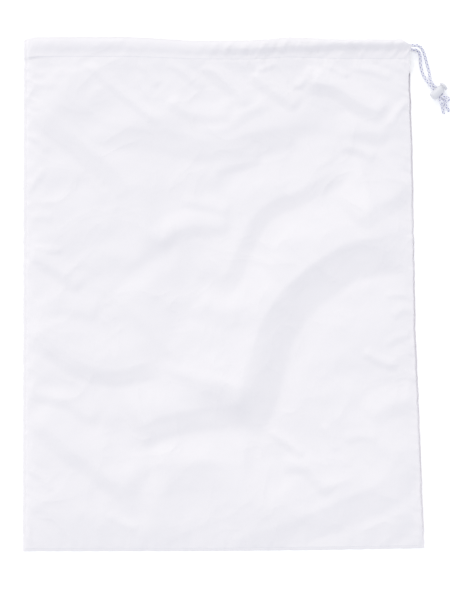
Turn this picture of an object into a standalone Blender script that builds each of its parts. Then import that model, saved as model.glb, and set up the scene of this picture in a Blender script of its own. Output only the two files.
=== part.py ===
"""A drawstring laundry bag lying flat, with a sprung cord lock on its drawcord.

Frame, in metres: +X runs across the bag towards the cord's exit, +Y towards the mouth and +Z up.
The origin is the centre of the bag's footprint, on the surface that the bag lies on.
"""

import math

import bmesh
import bpy
from mathutils import Matrix, Vector

# Driving dimensions of the bag
BAG_WIDTH = 0.559
BAG_LENGTH = 0.711
CASING_DEPTH = 0.0260
SEAM_ALLOWANCE = 0.009
CLOTH = 0.0006
THREAD = 0.0003
GAP = 0.0003
MOUTH_GAP = 0.0050

# Driving dimensions of the drawcord
CORD_DIAMETER = 0.0036
CORD_RADIUS = CORD_DIAMETER / 2
FRONT_RUN_Y = 0.3455
BACK_RUN_Y = 0.3410
RUN_LEFT_X = -0.245
RUN_RIGHT_X = 0.258

# Driving dimensions of the cord lock, along its axis from the barrel's closed end
LOCK_LENGTH = 0.0243
BARREL_LENGTH = 0.0178
BARREL_RADIUS = 0.00625
BORE_RADIUS = 0.0047
BORE_FLOOR = 0.0014
STEM_RADIUS = 0.0044
BUTTON_RADIUS = 0.0065
PLUNGER_TRAVEL = 0.0028
LOCK_CENTRE = Vector((0.2982, 0.2828, 0.0067))
LOCK_AXIS = Vector((1.0, 1.0, 0.0)).normalized()
CORD_THROUGH_LOCK = Vector((1.0, -1.0, 0.0)).normalized()
STRAND_OFFSETS = (0.0014, -0.0025)
SPRING_RADIUS = 0.0032
SPRING_WIRE = 0.0005
SPRING_TURNS = 3

# Heights of the layers at the mouth, from the surface up
BACK_TOP = CLOTH
BACK_CORD_Z = BACK_TOP + GAP + CORD_RADIUS
BACK_HEM_CROWN = BACK_CORD_Z + CORD_RADIUS + GAP
MOUTH_FLOOR = BACK_HEM_CROWN + CLOTH
FRONT_HEM_Z = MOUTH_FLOOR + MOUTH_GAP
FRONT_CORD_Z = FRONT_HEM_Z + CLOTH + GAP + CORD_RADIUS
FRONT_CROWN = FRONT_CORD_Z + CORD_RADIUS + GAP
FRONT_PLAIN = FRONT_HEM_Z + CLOTH + GAP
FRONT_EDGE = BACK_TOP + GAP

TOP = BAG_LENGTH / 2
BOTTOM = -BAG_LENGTH / 2
CASING_LINE = TOP - CASING_DEPTH
SIDE = BAG_WIDTH / 2
HEM_LEFT_X = RUN_LEFT_X + 0.002
HEM_RIGHT_X = 0.246

# The side edges as (y, x) points, bottom to top; the bag is a little narrower at its mouth
LEFT_EDGE = ((BOTTOM, -SIDE), (TOP, -0.278))
RIGHT_EDGE = (
    (BOTTOM, SIDE),
    (-0.174, 0.2725),
    (-0.049, 0.2670),
    (0.187, 0.2630),
    (0.306, 0.2590),
    (CASING_LINE, 0.2570),
    (FRONT_RUN_Y, 0.2600),
    (TOP, 0.2470),
)

# How the front panel rises from a seam: (distance in, share of its full height)
SEAM_RISE = ((0.0, 0.0), (0.008, 0.45), (0.018, 0.80), (0.030, 1.0))
SEAM_END_Y = 0.306

WHITE_NYLON = (0.84, 0.84, 0.89, 1.0)
WHITE_THREAD = (0.80, 0.80, 0.86, 1.0)
WHITE_CORD = (0.78, 0.78, 0.84, 1.0)
WHITE_PLASTIC = (0.76, 0.76, 0.81, 1.0)
SPRING_STEEL = (0.55, 0.55, 0.57, 1.0)


def clear_scene():
    for old in list(bpy.data.objects):
        bpy.data.objects.remove(old, do_unlink=True)


def finish(obj, colour, roughness, metallic=0.0):
    """Gives an object its own Principled BSDF material."""
    material = bpy.data.materials.new(obj.name + "_material")
    material.use_nodes = True
    shader = material.node_tree.nodes["Principled BSDF"]
    shader.inputs["Base Color"].default_value = colour
    shader.inputs["Roughness"].default_value = roughness
    shader.inputs["Metallic"].default_value = metallic
    obj.data.materials.append(material)
    return obj


def place(name, data, parent=None):
    obj = bpy.data.objects.new(name, data)
    bpy.context.scene.collection.objects.link(obj)
    obj.parent = parent
    return obj


def joint_empty(name, matrix, parent=None):
    """An empty on a joint's axis, placed by its world matrix."""
    empty = place(name, None)
    empty.matrix_world = matrix
    if parent:
        empty.parent = parent
        empty.matrix_parent_inverse = parent.matrix_world.inverted()
    return empty


def along(points, at):
    """The second value of (first, second) points where the first is at, on straight runs."""
    if at <= points[0][0]:
        return points[0][1]
    for (a, low), (b, high) in zip(points, points[1:]):
        if at <= b:
            return low + (high - low) * (at - a) / (b - a)
    return points[-1][1]


def cloth_grid(name, rows, thickness=CLOTH):
    """A sheet through rows of points of equal length, extruded upwards to its thickness."""
    mesh = bpy.data.meshes.new(name)
    sheet = bmesh.new()
    grid = [[sheet.verts.new(point) for point in row] for row in rows]
    for lower, upper in zip(grid, grid[1:]):
        for i in range(len(lower) - 1):
            sheet.faces.new((lower[i], lower[i + 1], upper[i + 1], upper[i]))
    raised = bmesh.ops.extrude_face_region(sheet, geom=sheet.faces[:], use_keep_orig=True)
    raised_verts = [item for item in raised["geom"] if isinstance(item, bmesh.types.BMVert)]
    bmesh.ops.translate(sheet, vec=(0.0, 0.0, thickness), verts=raised_verts)
    face_outwards(sheet)
    sheet.to_mesh(mesh)
    sheet.free()
    return place(name, mesh)


def face_outwards(solid):
    """Makes a closed body's faces agree and point outwards."""
    bmesh.ops.recalc_face_normals(solid, faces=solid.faces)
    if solid.calc_volume(signed=True) < 0:
        bmesh.ops.reverse_faces(solid, faces=solid.faces)


def smooth_route(points, spacing):
    """Points about one spacing apart on a Catmull-Rom curve through a route's points."""
    route = [Vector(point) for point in points]
    route = [route[0] * 2 - route[1], *route, route[-1] * 2 - route[-2]]
    curve = []
    for a, b, c, d in zip(route, route[1:], route[2:], route[3:]):
        steps = max(1, round((c - b).length / spacing))
        for step in range(steps):
            t = step / steps
            curve.append(
                0.5
                * (
                    2 * b
                    + (c - a) * t
                    + (2 * a - 5 * b + 4 * c - d) * t**2
                    + (3 * b - a - 3 * c + d) * t**3
                )
            )
    return [*curve, route[-2]]


def tube(name, points, radius, resolution=2):
    """A round tube with filled ends along a poly spline."""
    curve = bpy.data.curves.new(name, "CURVE")
    curve.dimensions = "3D"
    curve.bevel_depth = radius
    curve.bevel_resolution = resolution
    curve.use_fill_caps = True
    spline = curve.splines.new("POLY")
    spline.points.add(len(points) - 1)
    for knot, point in zip(spline.points, points):
        knot.co = (*point, 1.0)
    return place(name, curve)


def turned(name, profile, segments=32):
    """A solid turned about local Z from (radius, height) points that start and end on the axis."""
    mesh = bpy.data.meshes.new(name)
    solid = bmesh.new()
    verts = [solid.verts.new((radius, 0.0, height)) for radius, height in profile]
    edges = [solid.edges.new(pair) for pair in zip(verts, verts[1:])]
    bmesh.ops.spin(
        solid,
        geom=[*verts, *edges],
        cent=(0.0, 0.0, 0.0),
        axis=(0.0, 0.0, 1.0),
        angle=math.tau,
        steps=segments,
    )
    bmesh.ops.remove_doubles(solid, verts=solid.verts, dist=1e-6)
    face_outwards(solid)
    solid.to_mesh(mesh)
    solid.free()
    mesh.shade_smooth()
    mesh.set_sharp_from_angle(angle=math.radians(35))
    return place(name, mesh)


def cut_cord_slot(obj, low, high):
    """Cuts the oblong cord slot through a lock piece, along local X between two heights."""
    mesh = bpy.data.meshes.new(obj.name + "_slot")
    cutter = bmesh.new()
    bmesh.ops.create_cube(
        cutter,
        size=1.0,
        matrix=Matrix.Translation((0.0, 0.0, (low + high) / 2))
        @ Matrix.Diagonal((4 * BARREL_RADIUS, 2 * (CORD_RADIUS + GAP), high - low, 1.0)),
    )
    long_edges = [e for e in cutter.edges if abs(e.verts[0].co.x - e.verts[1].co.x) > BARREL_RADIUS]
    bmesh.ops.bevel(cutter, geom=long_edges, offset=0.0008, segments=2, affect="EDGES", profile=0.5)
    cutter.to_mesh(mesh)
    cutter.free()
    guide = place(obj.name + "_slot", mesh, obj.parent)
    guide.hide_render = True
    guide.display_type = "WIRE"
    cut = obj.modifiers.new("Cord slot", "BOOLEAN")
    cut.operation = "DIFFERENCE"
    cut.solver = "EXACT"
    cut.object = guide


def edge_distances(x, y):
    """How far in a point of the front panel lies from the left, right and bottom edges."""
    return x - along(LEFT_EDGE, y), along(RIGHT_EDGE, y) - x, y - BOTTOM


def front_height(x, y):
    """The underside of the front panel: a low crown over the bag, an arch over the cord."""
    arch = (
        (CASING_LINE, FRONT_PLAIN),
        (FRONT_RUN_Y - 0.0040, FRONT_CROWN - 0.0006),
        (FRONT_RUN_Y - 0.0025, FRONT_CROWN),
        (FRONT_RUN_Y + 0.0025, FRONT_CROWN),
        (FRONT_RUN_Y + 0.0050, FRONT_CROWN - 0.0010),
        (TOP, FRONT_PLAIN),
    )
    left, right, bottom = edge_distances(x, y)
    rise = min(along(SEAM_RISE, left), along(SEAM_RISE, bottom))
    if y <= SEAM_END_Y:
        rise = min(rise, along(SEAM_RISE, right))
    return FRONT_EDGE + (along(arch, y) - FRONT_EDGE) * rise


def make_panels():
    insets = [distance for distance, _ in SEAM_RISE]
    row_places = [
        *(BOTTOM + inset for inset in insets),
        -0.174,
        -0.049,
        0.187,
        SEAM_END_Y,
        CASING_LINE,
        FRONT_RUN_Y - 0.0040,
        FRONT_RUN_Y - 0.0025,
        FRONT_RUN_Y + 0.0025,
        FRONT_RUN_Y + 0.0050,
        TOP,
    ]
    front_rows = []
    for y in row_places:
        left, right = along(LEFT_EDGE, y), along(RIGHT_EDGE, y)
        across = [left + inset for inset in insets] + [right - inset for inset in reversed(insets)]
        front_rows.append([(x, y, front_height(x, y)) for x in across])
    finish(cloth_grid("front_panel", front_rows), WHITE_NYLON, 0.35)
    back_rows = []
    for y, right in RIGHT_EDGE:
        back_rows.append([(along(LEFT_EDGE, y), y, 0.0), (right, y, 0.0)])
    finish(cloth_grid("back_panel", back_rows), WHITE_NYLON, 0.35)


def make_casing_hems():
    """The mouth's folded hems, which close each panel into a tunnel for the cord."""
    hem_line = CASING_LINE + 0.0005
    hem_top = TOP - 0.0005
    flat = [(hem_line, FRONT_HEM_Z), (hem_top, FRONT_HEM_Z)]
    arch = [
        (hem_line, FRONT_EDGE),
        (BACK_RUN_Y - 0.0025, BACK_HEM_CROWN),
        (BACK_RUN_Y + 0.0025, BACK_HEM_CROWN),
        (BACK_RUN_Y + 0.0050, BACK_HEM_CROWN - 0.0008),
        (hem_top, FRONT_EDGE),
    ]
    for name, profile in (("front_casing_hem", flat), ("back_casing_hem", arch)):
        rows = [[(x, y, z) for x in (HEM_LEFT_X, HEM_RIGHT_X)] for y, z in profile]
        finish(cloth_grid(name, rows), WHITE_NYLON, 0.35)


def strip_along_x(name, y, width, x_ends, height, thickness):
    """A strip across the bag; height gives its underside at each y."""
    rows = [[(x, at, height(at)) for x in x_ends] for at in (y - width / 2, y + width / 2)]
    return cloth_grid(name, rows, thickness)


def strip_along_side(name, edge, inset, width, y_ends, underside, thickness):
    """A strip that follows a side edge at a distance in from it."""
    inward = 1 if edge is LEFT_EDGE else -1
    places = sorted({*y_ends, *(y for y, _ in edge if y_ends[0] < y < y_ends[1])})
    rows = []
    for y in places:
        ends = sorted(along(edge, y) + inward * (inset + share * width) for share in (0, 1))
        rows.append([(x, y, underside) for x in ends])
    return cloth_grid(name, rows, thickness)


def make_seams():
    """The turned-in seam allowances, the lockstitch that joins the panels and the overlocked raw edges."""
    seam_inset = 0.004
    layers = 2 * CLOTH
    above = FRONT_EDGE + layers + GAP
    side_ends = (BOTTOM + 0.018, CASING_LINE - 0.006)
    bottom_ends = (-SIDE + 0.022, SIDE - 0.022)
    overlock_inset = seam_inset + SEAM_ALLOWANCE + GAP
    for name, edge in (("left", LEFT_EDGE), ("right", RIGHT_EDGE)):
        allowance = strip_along_side(
            name + "_seam_allowance", edge, seam_inset, SEAM_ALLOWANCE, side_ends, FRONT_EDGE, layers
        )
        finish(allowance, WHITE_NYLON, 0.40)
        stitches = strip_along_side(
            name + "_seam_stitching", edge, seam_inset + 0.001, 0.0008, side_ends, above, THREAD
        )
        finish(stitches, WHITE_THREAD, 0.55)
        overlock = strip_along_side(
            name + "_overlock_thread", edge, overlock_inset, 0.0012, side_ends, FRONT_EDGE, layers
        )
        finish(overlock, WHITE_THREAD, 0.60)
    allowance = strip_along_x(
        "bottom_seam_allowance",
        BOTTOM + seam_inset + SEAM_ALLOWANCE / 2,
        SEAM_ALLOWANCE,
        bottom_ends,
        lambda y: FRONT_EDGE,
        layers,
    )
    finish(allowance, WHITE_NYLON, 0.40)
    overlock = strip_along_x(
        "bottom_overlock_thread",
        BOTTOM + overlock_inset + 0.0006,
        0.0012,
        bottom_ends,
        lambda y: FRONT_EDGE,
        layers,
    )
    finish(overlock, WHITE_THREAD, 0.60)


def make_visible_stitching():
    """The topstitch along the bottom, the casing's two stitch lines and the tack below the exit."""
    over_cloth = CLOTH * 1.2 + GAP
    bottom = strip_along_x(
        "bottom_topstitching",
        BOTTOM + 0.004,
        0.0008,
        (RUN_LEFT_X, -RUN_LEFT_X),
        lambda y: front_height(0.0, y) + over_cloth,
        THREAD,
    )
    finish(bottom, WHITE_THREAD, 0.55)
    front = strip_along_x(
        "front_casing_stitching",
        CASING_LINE - 0.0015,
        0.0008,
        (HEM_LEFT_X, HEM_RIGHT_X),
        lambda y: FRONT_PLAIN + CLOTH + GAP,
        THREAD,
    )
    finish(front, WHITE_THREAD, 0.55)
    back = strip_along_x(
        "back_casing_stitching",
        CASING_LINE - 0.0010,
        0.0008,
        (HEM_LEFT_X, HEM_RIGHT_X),
        lambda y: FRONT_EDGE,
        THREAD,
    )
    finish(back, WHITE_THREAD, 0.55)
    tack = strip_along_x(
        "exit_bar_tack",
        CASING_LINE - 0.0035,
        0.0014,
        (0.2475, 0.2535),
        lambda y: FRONT_EDGE,
        3 * THREAD,
    )
    finish(tack, WHITE_THREAD, 0.60)


def make_drawcord_run():
    """The one cord inside both casings, turning from front to back at the left end."""
    straight_steps = 35
    turn_steps = 8
    turn_radius = (FRONT_CORD_Z - BACK_CORD_Z) / 2
    middle_z = (FRONT_CORD_Z + BACK_CORD_Z) / 2
    length = RUN_RIGHT_X - RUN_LEFT_X
    xs = [RUN_RIGHT_X - length * i / straight_steps for i in range(straight_steps)]
    points = [(x, FRONT_RUN_Y, FRONT_CORD_Z) for x in xs]
    for i in range(turn_steps + 1):
        angle = math.pi * i / turn_steps
        share = (1 - math.cos(angle)) / 2
        points.append(
            (
                RUN_LEFT_X - turn_radius * math.sin(angle),
                FRONT_RUN_Y + (BACK_RUN_Y - FRONT_RUN_Y) * share,
                middle_z + turn_radius * math.cos(angle),
            )
        )
    points += [(x, BACK_RUN_Y, BACK_CORD_Z) for x in reversed(xs)]
    finish(tube("drawcord_run", points, CORD_RADIUS), WHITE_CORD, 0.60)


def through_lock(offset, distance):
    """A point on a strand's straight stretch through the lock, by its distance before the lock's axis."""
    return LOCK_CENTRE + LOCK_AXIS * offset - CORD_THROUGH_LOCK * distance


def make_strands(parent):
    """The two strands that leave the casing and run through the lock to the knot."""
    start_x = RUN_RIGHT_X + GAP
    outer = [
        (start_x, FRONT_RUN_Y, FRONT_CORD_Z),
        (0.2640, 0.3456, 0.0128),
        (0.2695, 0.3452, 0.0114),
        (0.2745, 0.3420, 0.0090),
        (0.2785, 0.3345, 0.0060),
        (0.2822, 0.3230, 0.0034),
        (0.2855, 0.3110, 0.0026),
        (0.2880, 0.3010, 0.0040),
    ]
    inner = [
        (start_x, BACK_RUN_Y, BACK_CORD_Z),
        (0.2630, 0.3411, BACK_CORD_Z),
        (0.2675, 0.3408, 0.0026),
        (0.2715, 0.3375, 0.0024),
        (0.2733, 0.3310, 0.0022),
        (0.2738, 0.3205, 0.0022),
        (0.2760, 0.3095, 0.0026),
        (0.2802, 0.3005, 0.0040),
    ]
    routes = (("outer_cord_strand", outer), ("inner_cord_strand", inner))
    for (name, route), offset in zip(routes, STRAND_OFFSETS):
        straight = [through_lock(offset, distance) for distance in (0.0120, 0.0062, 0.0, -0.0064)]
        points = smooth_route([*route, *straight], 2 * CORD_DIAMETER)
        strand = tube(name, points, CORD_RADIUS)
        strand.parent = parent
        strand.matrix_parent_inverse = parent.matrix_world.inverted()
        finish(strand, WHITE_CORD, 0.60)


def make_knot(parent):
    """The knot of both cord ends that stops the lock, and the two short tails below it."""
    knot_distance = -0.0137
    knot_offset = -0.0030
    centre = through_lock(knot_offset, knot_distance)
    mesh = bpy.data.meshes.new("cord_knot")
    lump = bmesh.new()
    bmesh.ops.create_uvsphere(lump, u_segments=20, v_segments=12, radius=1.0)
    turn = Matrix(
        (
            (LOCK_AXIS.x, CORD_THROUGH_LOCK.x, 0.0, 0.0),
            (LOCK_AXIS.y, CORD_THROUGH_LOCK.y, 0.0, 0.0),
            (0.0, 0.0, 1.0, 0.0),
            (0.0, 0.0, 0.0, 1.0),
        )
    )
    size = Matrix.Diagonal((0.0084, 0.0069, 0.0066, 1.0))
    bmesh.ops.transform(lump, matrix=Matrix.Translation(centre) @ turn @ size, verts=lump.verts)
    face_outwards(lump)
    lump.to_mesh(mesh)
    lump.free()
    mesh.shade_smooth()
    pieces = [place("cord_knot", mesh)]
    tails = (
        ("long_cord_tail", [(0.3035, 0.2617, 0.0050), (0.3047, 0.2568, 0.0032), (0.3062, 0.2516, 0.0021)]),
        ("short_cord_tail", [(0.3092, 0.2622, 0.0050), (0.3118, 0.2585, 0.0034), (0.3140, 0.2548, 0.0022)]),
    )
    for name, route in tails:
        pieces.append(tube(name, smooth_route(route, CORD_DIAMETER), CORD_RADIUS))
    for piece in pieces:
        piece.parent = parent
        piece.matrix_parent_inverse = parent.matrix_world.inverted()
        finish(piece, WHITE_CORD, 0.60)


def lock_matrix():
    """Local Z along the lock's axis from the closed end, local X along the cord."""
    across = LOCK_AXIS.cross(CORD_THROUGH_LOCK)
    start = LOCK_CENTRE - LOCK_AXIS * (LOCK_LENGTH / 2)
    columns = (CORD_THROUGH_LOCK, across, LOCK_AXIS)
    turn = Matrix([[column[i] for column in columns] for i in range(3)]).to_4x4()
    return Matrix.Translation(start) @ turn


def make_lock(lock_joint, plunger_joint):
    """The barrel with its blind bore, the plunger with its button, and the spring below it."""
    slot_low = LOCK_LENGTH / 2 + min(STRAND_OFFSETS) - CORD_RADIUS - GAP
    slot_high = LOCK_LENGTH / 2 + max(STRAND_OFFSETS) + CORD_RADIUS + GAP
    stem_end = slot_low - 0.0012
    button_foot = BARREL_LENGTH + PLUNGER_TRAVEL + GAP

    barrel = turned(
        "lock_barrel",
        [
            (0.0, 0.0),
            (BARREL_RADIUS - 0.0012, 0.0),
            (BARREL_RADIUS - 0.0006, 0.0005),
            (BARREL_RADIUS, 0.0022),
            (BARREL_RADIUS, BARREL_LENGTH - 0.0008),
            (BARREL_RADIUS - 0.0004, BARREL_LENGTH),
            (BORE_RADIUS, BARREL_LENGTH),
            (BORE_RADIUS, BORE_FLOOR),
            (0.0, BORE_FLOOR),
        ],
    )
    barrel.parent = lock_joint
    cut_cord_slot(barrel, slot_low, slot_high)
    finish(barrel, WHITE_PLASTIC, 0.35)

    plunger = turned(
        "lock_plunger",
        [
            (0.0, stem_end),
            (STEM_RADIUS, stem_end),
            (STEM_RADIUS, button_foot),
            (BUTTON_RADIUS - 0.0004, button_foot),
            (BUTTON_RADIUS, button_foot + 0.0005),
            (BUTTON_RADIUS, LOCK_LENGTH - 0.0012),
            (BUTTON_RADIUS - 0.0012, LOCK_LENGTH),
            (0.0, LOCK_LENGTH),
        ],
    )
    plunger.parent = plunger_joint
    cut_cord_slot(plunger, slot_low, slot_high + PLUNGER_TRAVEL)
    finish(plunger, WHITE_PLASTIC, 0.35)

    wire = SPRING_WIRE / 2
    low = BORE_FLOOR + GAP + wire
    high = stem_end - GAP - wire
    steps = 12 * SPRING_TURNS
    coil = []
    for i in range(steps + 1):
        angle = math.tau * i * SPRING_TURNS / steps
        height = low + (high - low) * i / steps
        coil.append((SPRING_RADIUS * math.cos(angle), SPRING_RADIUS * math.sin(angle), height))
    spring = tube("lock_spring", coil, wire, resolution=1)
    spring.parent = lock_joint
    finish(spring, SPRING_STEEL, 0.30, metallic=1.0)


def main():
    clear_scene()
    make_panels()
    make_casing_hems()
    make_seams()
    make_visible_stitching()
    make_drawcord_run()
    exit_point = Matrix.Translation((RUN_RIGHT_X, (FRONT_RUN_Y + BACK_RUN_Y) / 2, 0.0))
    swing_joint = joint_empty("cord_swing_joint", exit_point)
    lock_joint = joint_empty("lock_slide_joint", lock_matrix(), swing_joint)
    plunger_joint = joint_empty("plunger_press_joint", lock_matrix(), lock_joint)
    bpy.context.view_layer.update()
    make_strands(swing_joint)
    make_knot(swing_joint)
    make_lock(lock_joint, plunger_joint)


main()
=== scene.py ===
"""A white nylon laundry bag with its drawcord and cord lock, laid flat on a pale floor.

Everything is in metres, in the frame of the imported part: +X across the bag towards the cord's
exit, +Y towards the mouth, +Z up.
"""

import math
import random

import bmesh
import bpy
import numpy as np
from mathutils import Matrix, Vector
from mathutils.bvhtree import BVHTree


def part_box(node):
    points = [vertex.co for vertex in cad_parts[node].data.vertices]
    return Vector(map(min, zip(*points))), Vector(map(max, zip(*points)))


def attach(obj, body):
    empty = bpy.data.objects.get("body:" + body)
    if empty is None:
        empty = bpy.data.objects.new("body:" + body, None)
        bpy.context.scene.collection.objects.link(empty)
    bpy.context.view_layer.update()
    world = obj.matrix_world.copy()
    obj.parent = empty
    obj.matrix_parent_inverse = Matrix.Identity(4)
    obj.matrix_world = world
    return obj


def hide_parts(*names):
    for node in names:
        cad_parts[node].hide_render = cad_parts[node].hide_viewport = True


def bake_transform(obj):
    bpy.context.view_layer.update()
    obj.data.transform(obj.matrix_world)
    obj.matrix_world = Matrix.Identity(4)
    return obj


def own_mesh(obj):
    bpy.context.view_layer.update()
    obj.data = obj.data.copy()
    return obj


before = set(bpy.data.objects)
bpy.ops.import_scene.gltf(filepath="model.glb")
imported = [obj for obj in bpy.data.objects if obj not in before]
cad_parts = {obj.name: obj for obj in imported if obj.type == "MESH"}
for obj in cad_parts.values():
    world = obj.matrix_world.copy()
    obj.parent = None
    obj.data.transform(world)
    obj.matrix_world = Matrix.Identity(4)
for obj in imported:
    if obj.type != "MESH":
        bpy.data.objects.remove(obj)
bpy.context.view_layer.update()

bl_info = {
    "name": "Laundry Bag",
    "version": (1, 0, 0),
    "blender": (4, 5, 0),
    "location": "3D View > Sidebar > Laundry Bag",
    "description": "Makes a drawstring laundry bag with a sprung cord lock around its packed frame",
    "category": "Object",
}

MM = 0.001

# Places taken from the frame
BACK_LOW, BACK_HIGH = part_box("back_panel")
FRONT_HEM_LOW, FRONT_HEM_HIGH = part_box("front_casing_hem")
BACK_HEM_LOW, BACK_HEM_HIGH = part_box("back_casing_hem")
RUN_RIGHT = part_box("drawcord_run")[1].x

TOP = BACK_HIGH.y
BOTTOM = BACK_LOW.y
CASING_LINE = FRONT_HEM_LOW.y - 0.5 * MM

# The side edges as (y, x) points, bottom to top
LEFT_EDGE = ((BOTTOM, BACK_LOW.x), (TOP, -0.2780))
RIGHT_EDGE = (
    (BOTTOM, BACK_HIGH.x),
    (-0.174, 0.2725),
    (-0.049, 0.2670),
    (0.187, 0.2630),
    (0.306, 0.2590),
    (CASING_LINE, 0.2570),
    (0.3455, 0.2600),
    (TOP, 0.2470),
)

# How far the sewn outline strays from the straight, as (x, shift in millimetres) points
TOP_SHIFT = ((-0.280, -1.6), (-0.262, 0.6), (-0.235, 1.4), (-0.130, 1.4), (-0.090, -0.6), (-0.047, -3.6),
             (0.036, -3.8), (0.066, -1.5), (0.092, 0.6), (0.118, -0.4), (0.148, -2.5), (0.245, -2.6),
             (0.260, -1.5))
BOTTOM_SHIFT = ((-0.280, -1.0), (0.000, -0.6), (0.120, 0.6), (0.220, 2.2), (0.280, 3.4))

# The cord lock: its middle, its axis towards the button, and the way the cord runs through it
LOCK_AXIS = Vector((1.0, 1.0, 0.0)).normalized()
CORD_WAY = Vector((1.0, -1.0, 0.0)).normalized()
LOCK_CENTRE = Vector((0.2982, 0.2828, 0.0067))
LOCK_LENGTH = 24.3 * MM
# How far each strand passes from the lock's middle, towards the button
STRAND_OFFSETS = (0.0014, -0.0025)

# The strands' routes from the casing's exit to their straight stretch through the lock
OUTER_ROUTE = (
    (0.2583, 0.3455, 0.0131),
    (0.2640, 0.3456, 0.0128),
    (0.2695, 0.3452, 0.0114),
    (0.2745, 0.3420, 0.0090),
    (0.2785, 0.3345, 0.0060),
    (0.2822, 0.3230, 0.0034),
    (0.2855, 0.3110, 0.0026),
    (0.2868, 0.2998, 0.0052),
)
INNER_ROUTE = (
    (0.2583, 0.3410, 0.0027),
    (0.2630, 0.3411, 0.0027),
    (0.2675, 0.3408, 0.0026),
    (0.2715, 0.3375, 0.0024),
    (0.2733, 0.3310, 0.0022),
    (0.2738, 0.3205, 0.0022),
    (0.2760, 0.3095, 0.0026),
    (0.2802, 0.3005, 0.0040),
)
# Points of that stretch and of the strands' ends in the knot, by distance before the lock's axis
STRAIGHT_DISTANCES = (0.0120, 0.0062, 0.0, -0.0064)
INTO_KNOT = -0.0108

TAIL_ROUTES = {
    "long_cord_tail": (
        (0.3026, 0.2660, 0.0066),
        (0.3038, 0.2610, 0.0048),
        (0.3050, 0.2560, 0.0030),
        (0.3062, 0.2514, 0.0021),
    ),
    "short_cord_tail": (
        (0.3070, 0.2660, 0.0062),
        (0.3092, 0.2622, 0.0050),
        (0.3118, 0.2585, 0.0032),
        (0.3141, 0.2547, 0.0022),
    ),
}


def linear(code):
    """An sRGB hex colour as linear RGBA."""
    parts = [int(code[i : i + 2], 16) / 255 for i in (0, 2, 4)]
    channels = [c / 12.92 if c <= 0.04045 else ((c + 0.055) / 1.055) ** 2.4 for c in parts]
    return (*channels, 1.0)


class BagSizes(bpy.types.PropertyGroup):
    """Sizes of the bag's cloth and sewing."""

    cloth: bpy.props.FloatProperty(
        name="Cloth thickness",
        description="Thickness of the nylon as drawn",
        default=0.25 * MM,
        unit="LENGTH",
    )
    fold: bpy.props.FloatProperty(
        name="Fold height",
        description="Scales the height of the broad folds",
        default=1.0,
        subtype="FACTOR",
    )
    stitch: bpy.props.FloatProperty(
        name="Stitch pitch",
        description="Distance from one stitch to the next",
        default=3.0 * MM,
        unit="LENGTH",
    )
    cord: bpy.props.FloatProperty(
        name="Cord diameter",
        description="Diameter of the braided drawcord",
        default=3.6 * MM,
        unit="LENGTH",
    )


class BagColours(bpy.types.PropertyGroup):
    """Colours of the bag's materials."""

    nylon: bpy.props.FloatVectorProperty(
        name="Nylon",
        description="Colour of the cloth",
        default=linear("F4F1F4"),
        size=4,
        subtype="COLOR",
    )
    thread: bpy.props.FloatVectorProperty(
        name="Thread",
        description="Colour of the sewing thread",
        default=linear("E8E8EF"),
        size=4,
        subtype="COLOR",
    )
    cord: bpy.props.FloatVectorProperty(
        name="Cord",
        description="Colour of the drawcord",
        default=linear("EAEAF2"),
        size=4,
        subtype="COLOR",
    )
    plastic: bpy.props.FloatVectorProperty(
        name="Plastic",
        description="Colour of the cord lock",
        default=linear("E4E4E9"),
        size=4,
        subtype="COLOR",
    )
    floor: bpy.props.FloatVectorProperty(
        name="Floor",
        description="Colour of the floor",
        default=linear("FBFBFB"),
        size=4,
        subtype="COLOR",
    )


def sizes():
    return bpy.context.scene.laundry_bag_sizes


def colours():
    return bpy.context.scene.laundry_bag_colours


# ---------------------------------------------------------------- materials


def new_material(name, colour, roughness, **sockets):
    """A material and its shader, with each uniform value on the shader's own socket."""
    material = bpy.data.materials.new(name)
    material.use_nodes = True
    shader = material.node_tree.nodes["Principled BSDF"]
    shader.inputs["Base Color"].default_value = colour
    shader.inputs["Roughness"].default_value = roughness
    for socket, value in sockets.items():
        shader.inputs[socket.replace("_", " ")].default_value = value
    return material, shader


def add_node(material, kind, settings, links=(), into=()):
    """Adds a node with its settings and links.

    links come in, as (node, its output, this input); into go out, as (this output, node, its input).
    """
    node = material.node_tree.nodes.new(kind)
    for key, value in settings.items():
        if key in node.inputs:
            node.inputs[key].default_value = value
        else:
            setattr(node, key, value)
    for source, output, socket in links:
        material.node_tree.links.new(source.outputs[output], node.inputs[socket])
    for output, target, socket in into:
        material.node_tree.links.new(node.outputs[output], target.inputs[socket])
    return node


def shaded(colour, share):
    return (*(channel * share for channel in colour[:3]), 1.0)


PLACE = "ShaderNodeTexCoord"
NOISE = "ShaderNodeTexNoise"
WAVE = "ShaderNodeTexWave"
BUMP = "ShaderNodeBump"
MIX = "ShaderNodeMix"
RANGE = "ShaderNodeMapRange"
MATHS = "ShaderNodeMath"


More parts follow.
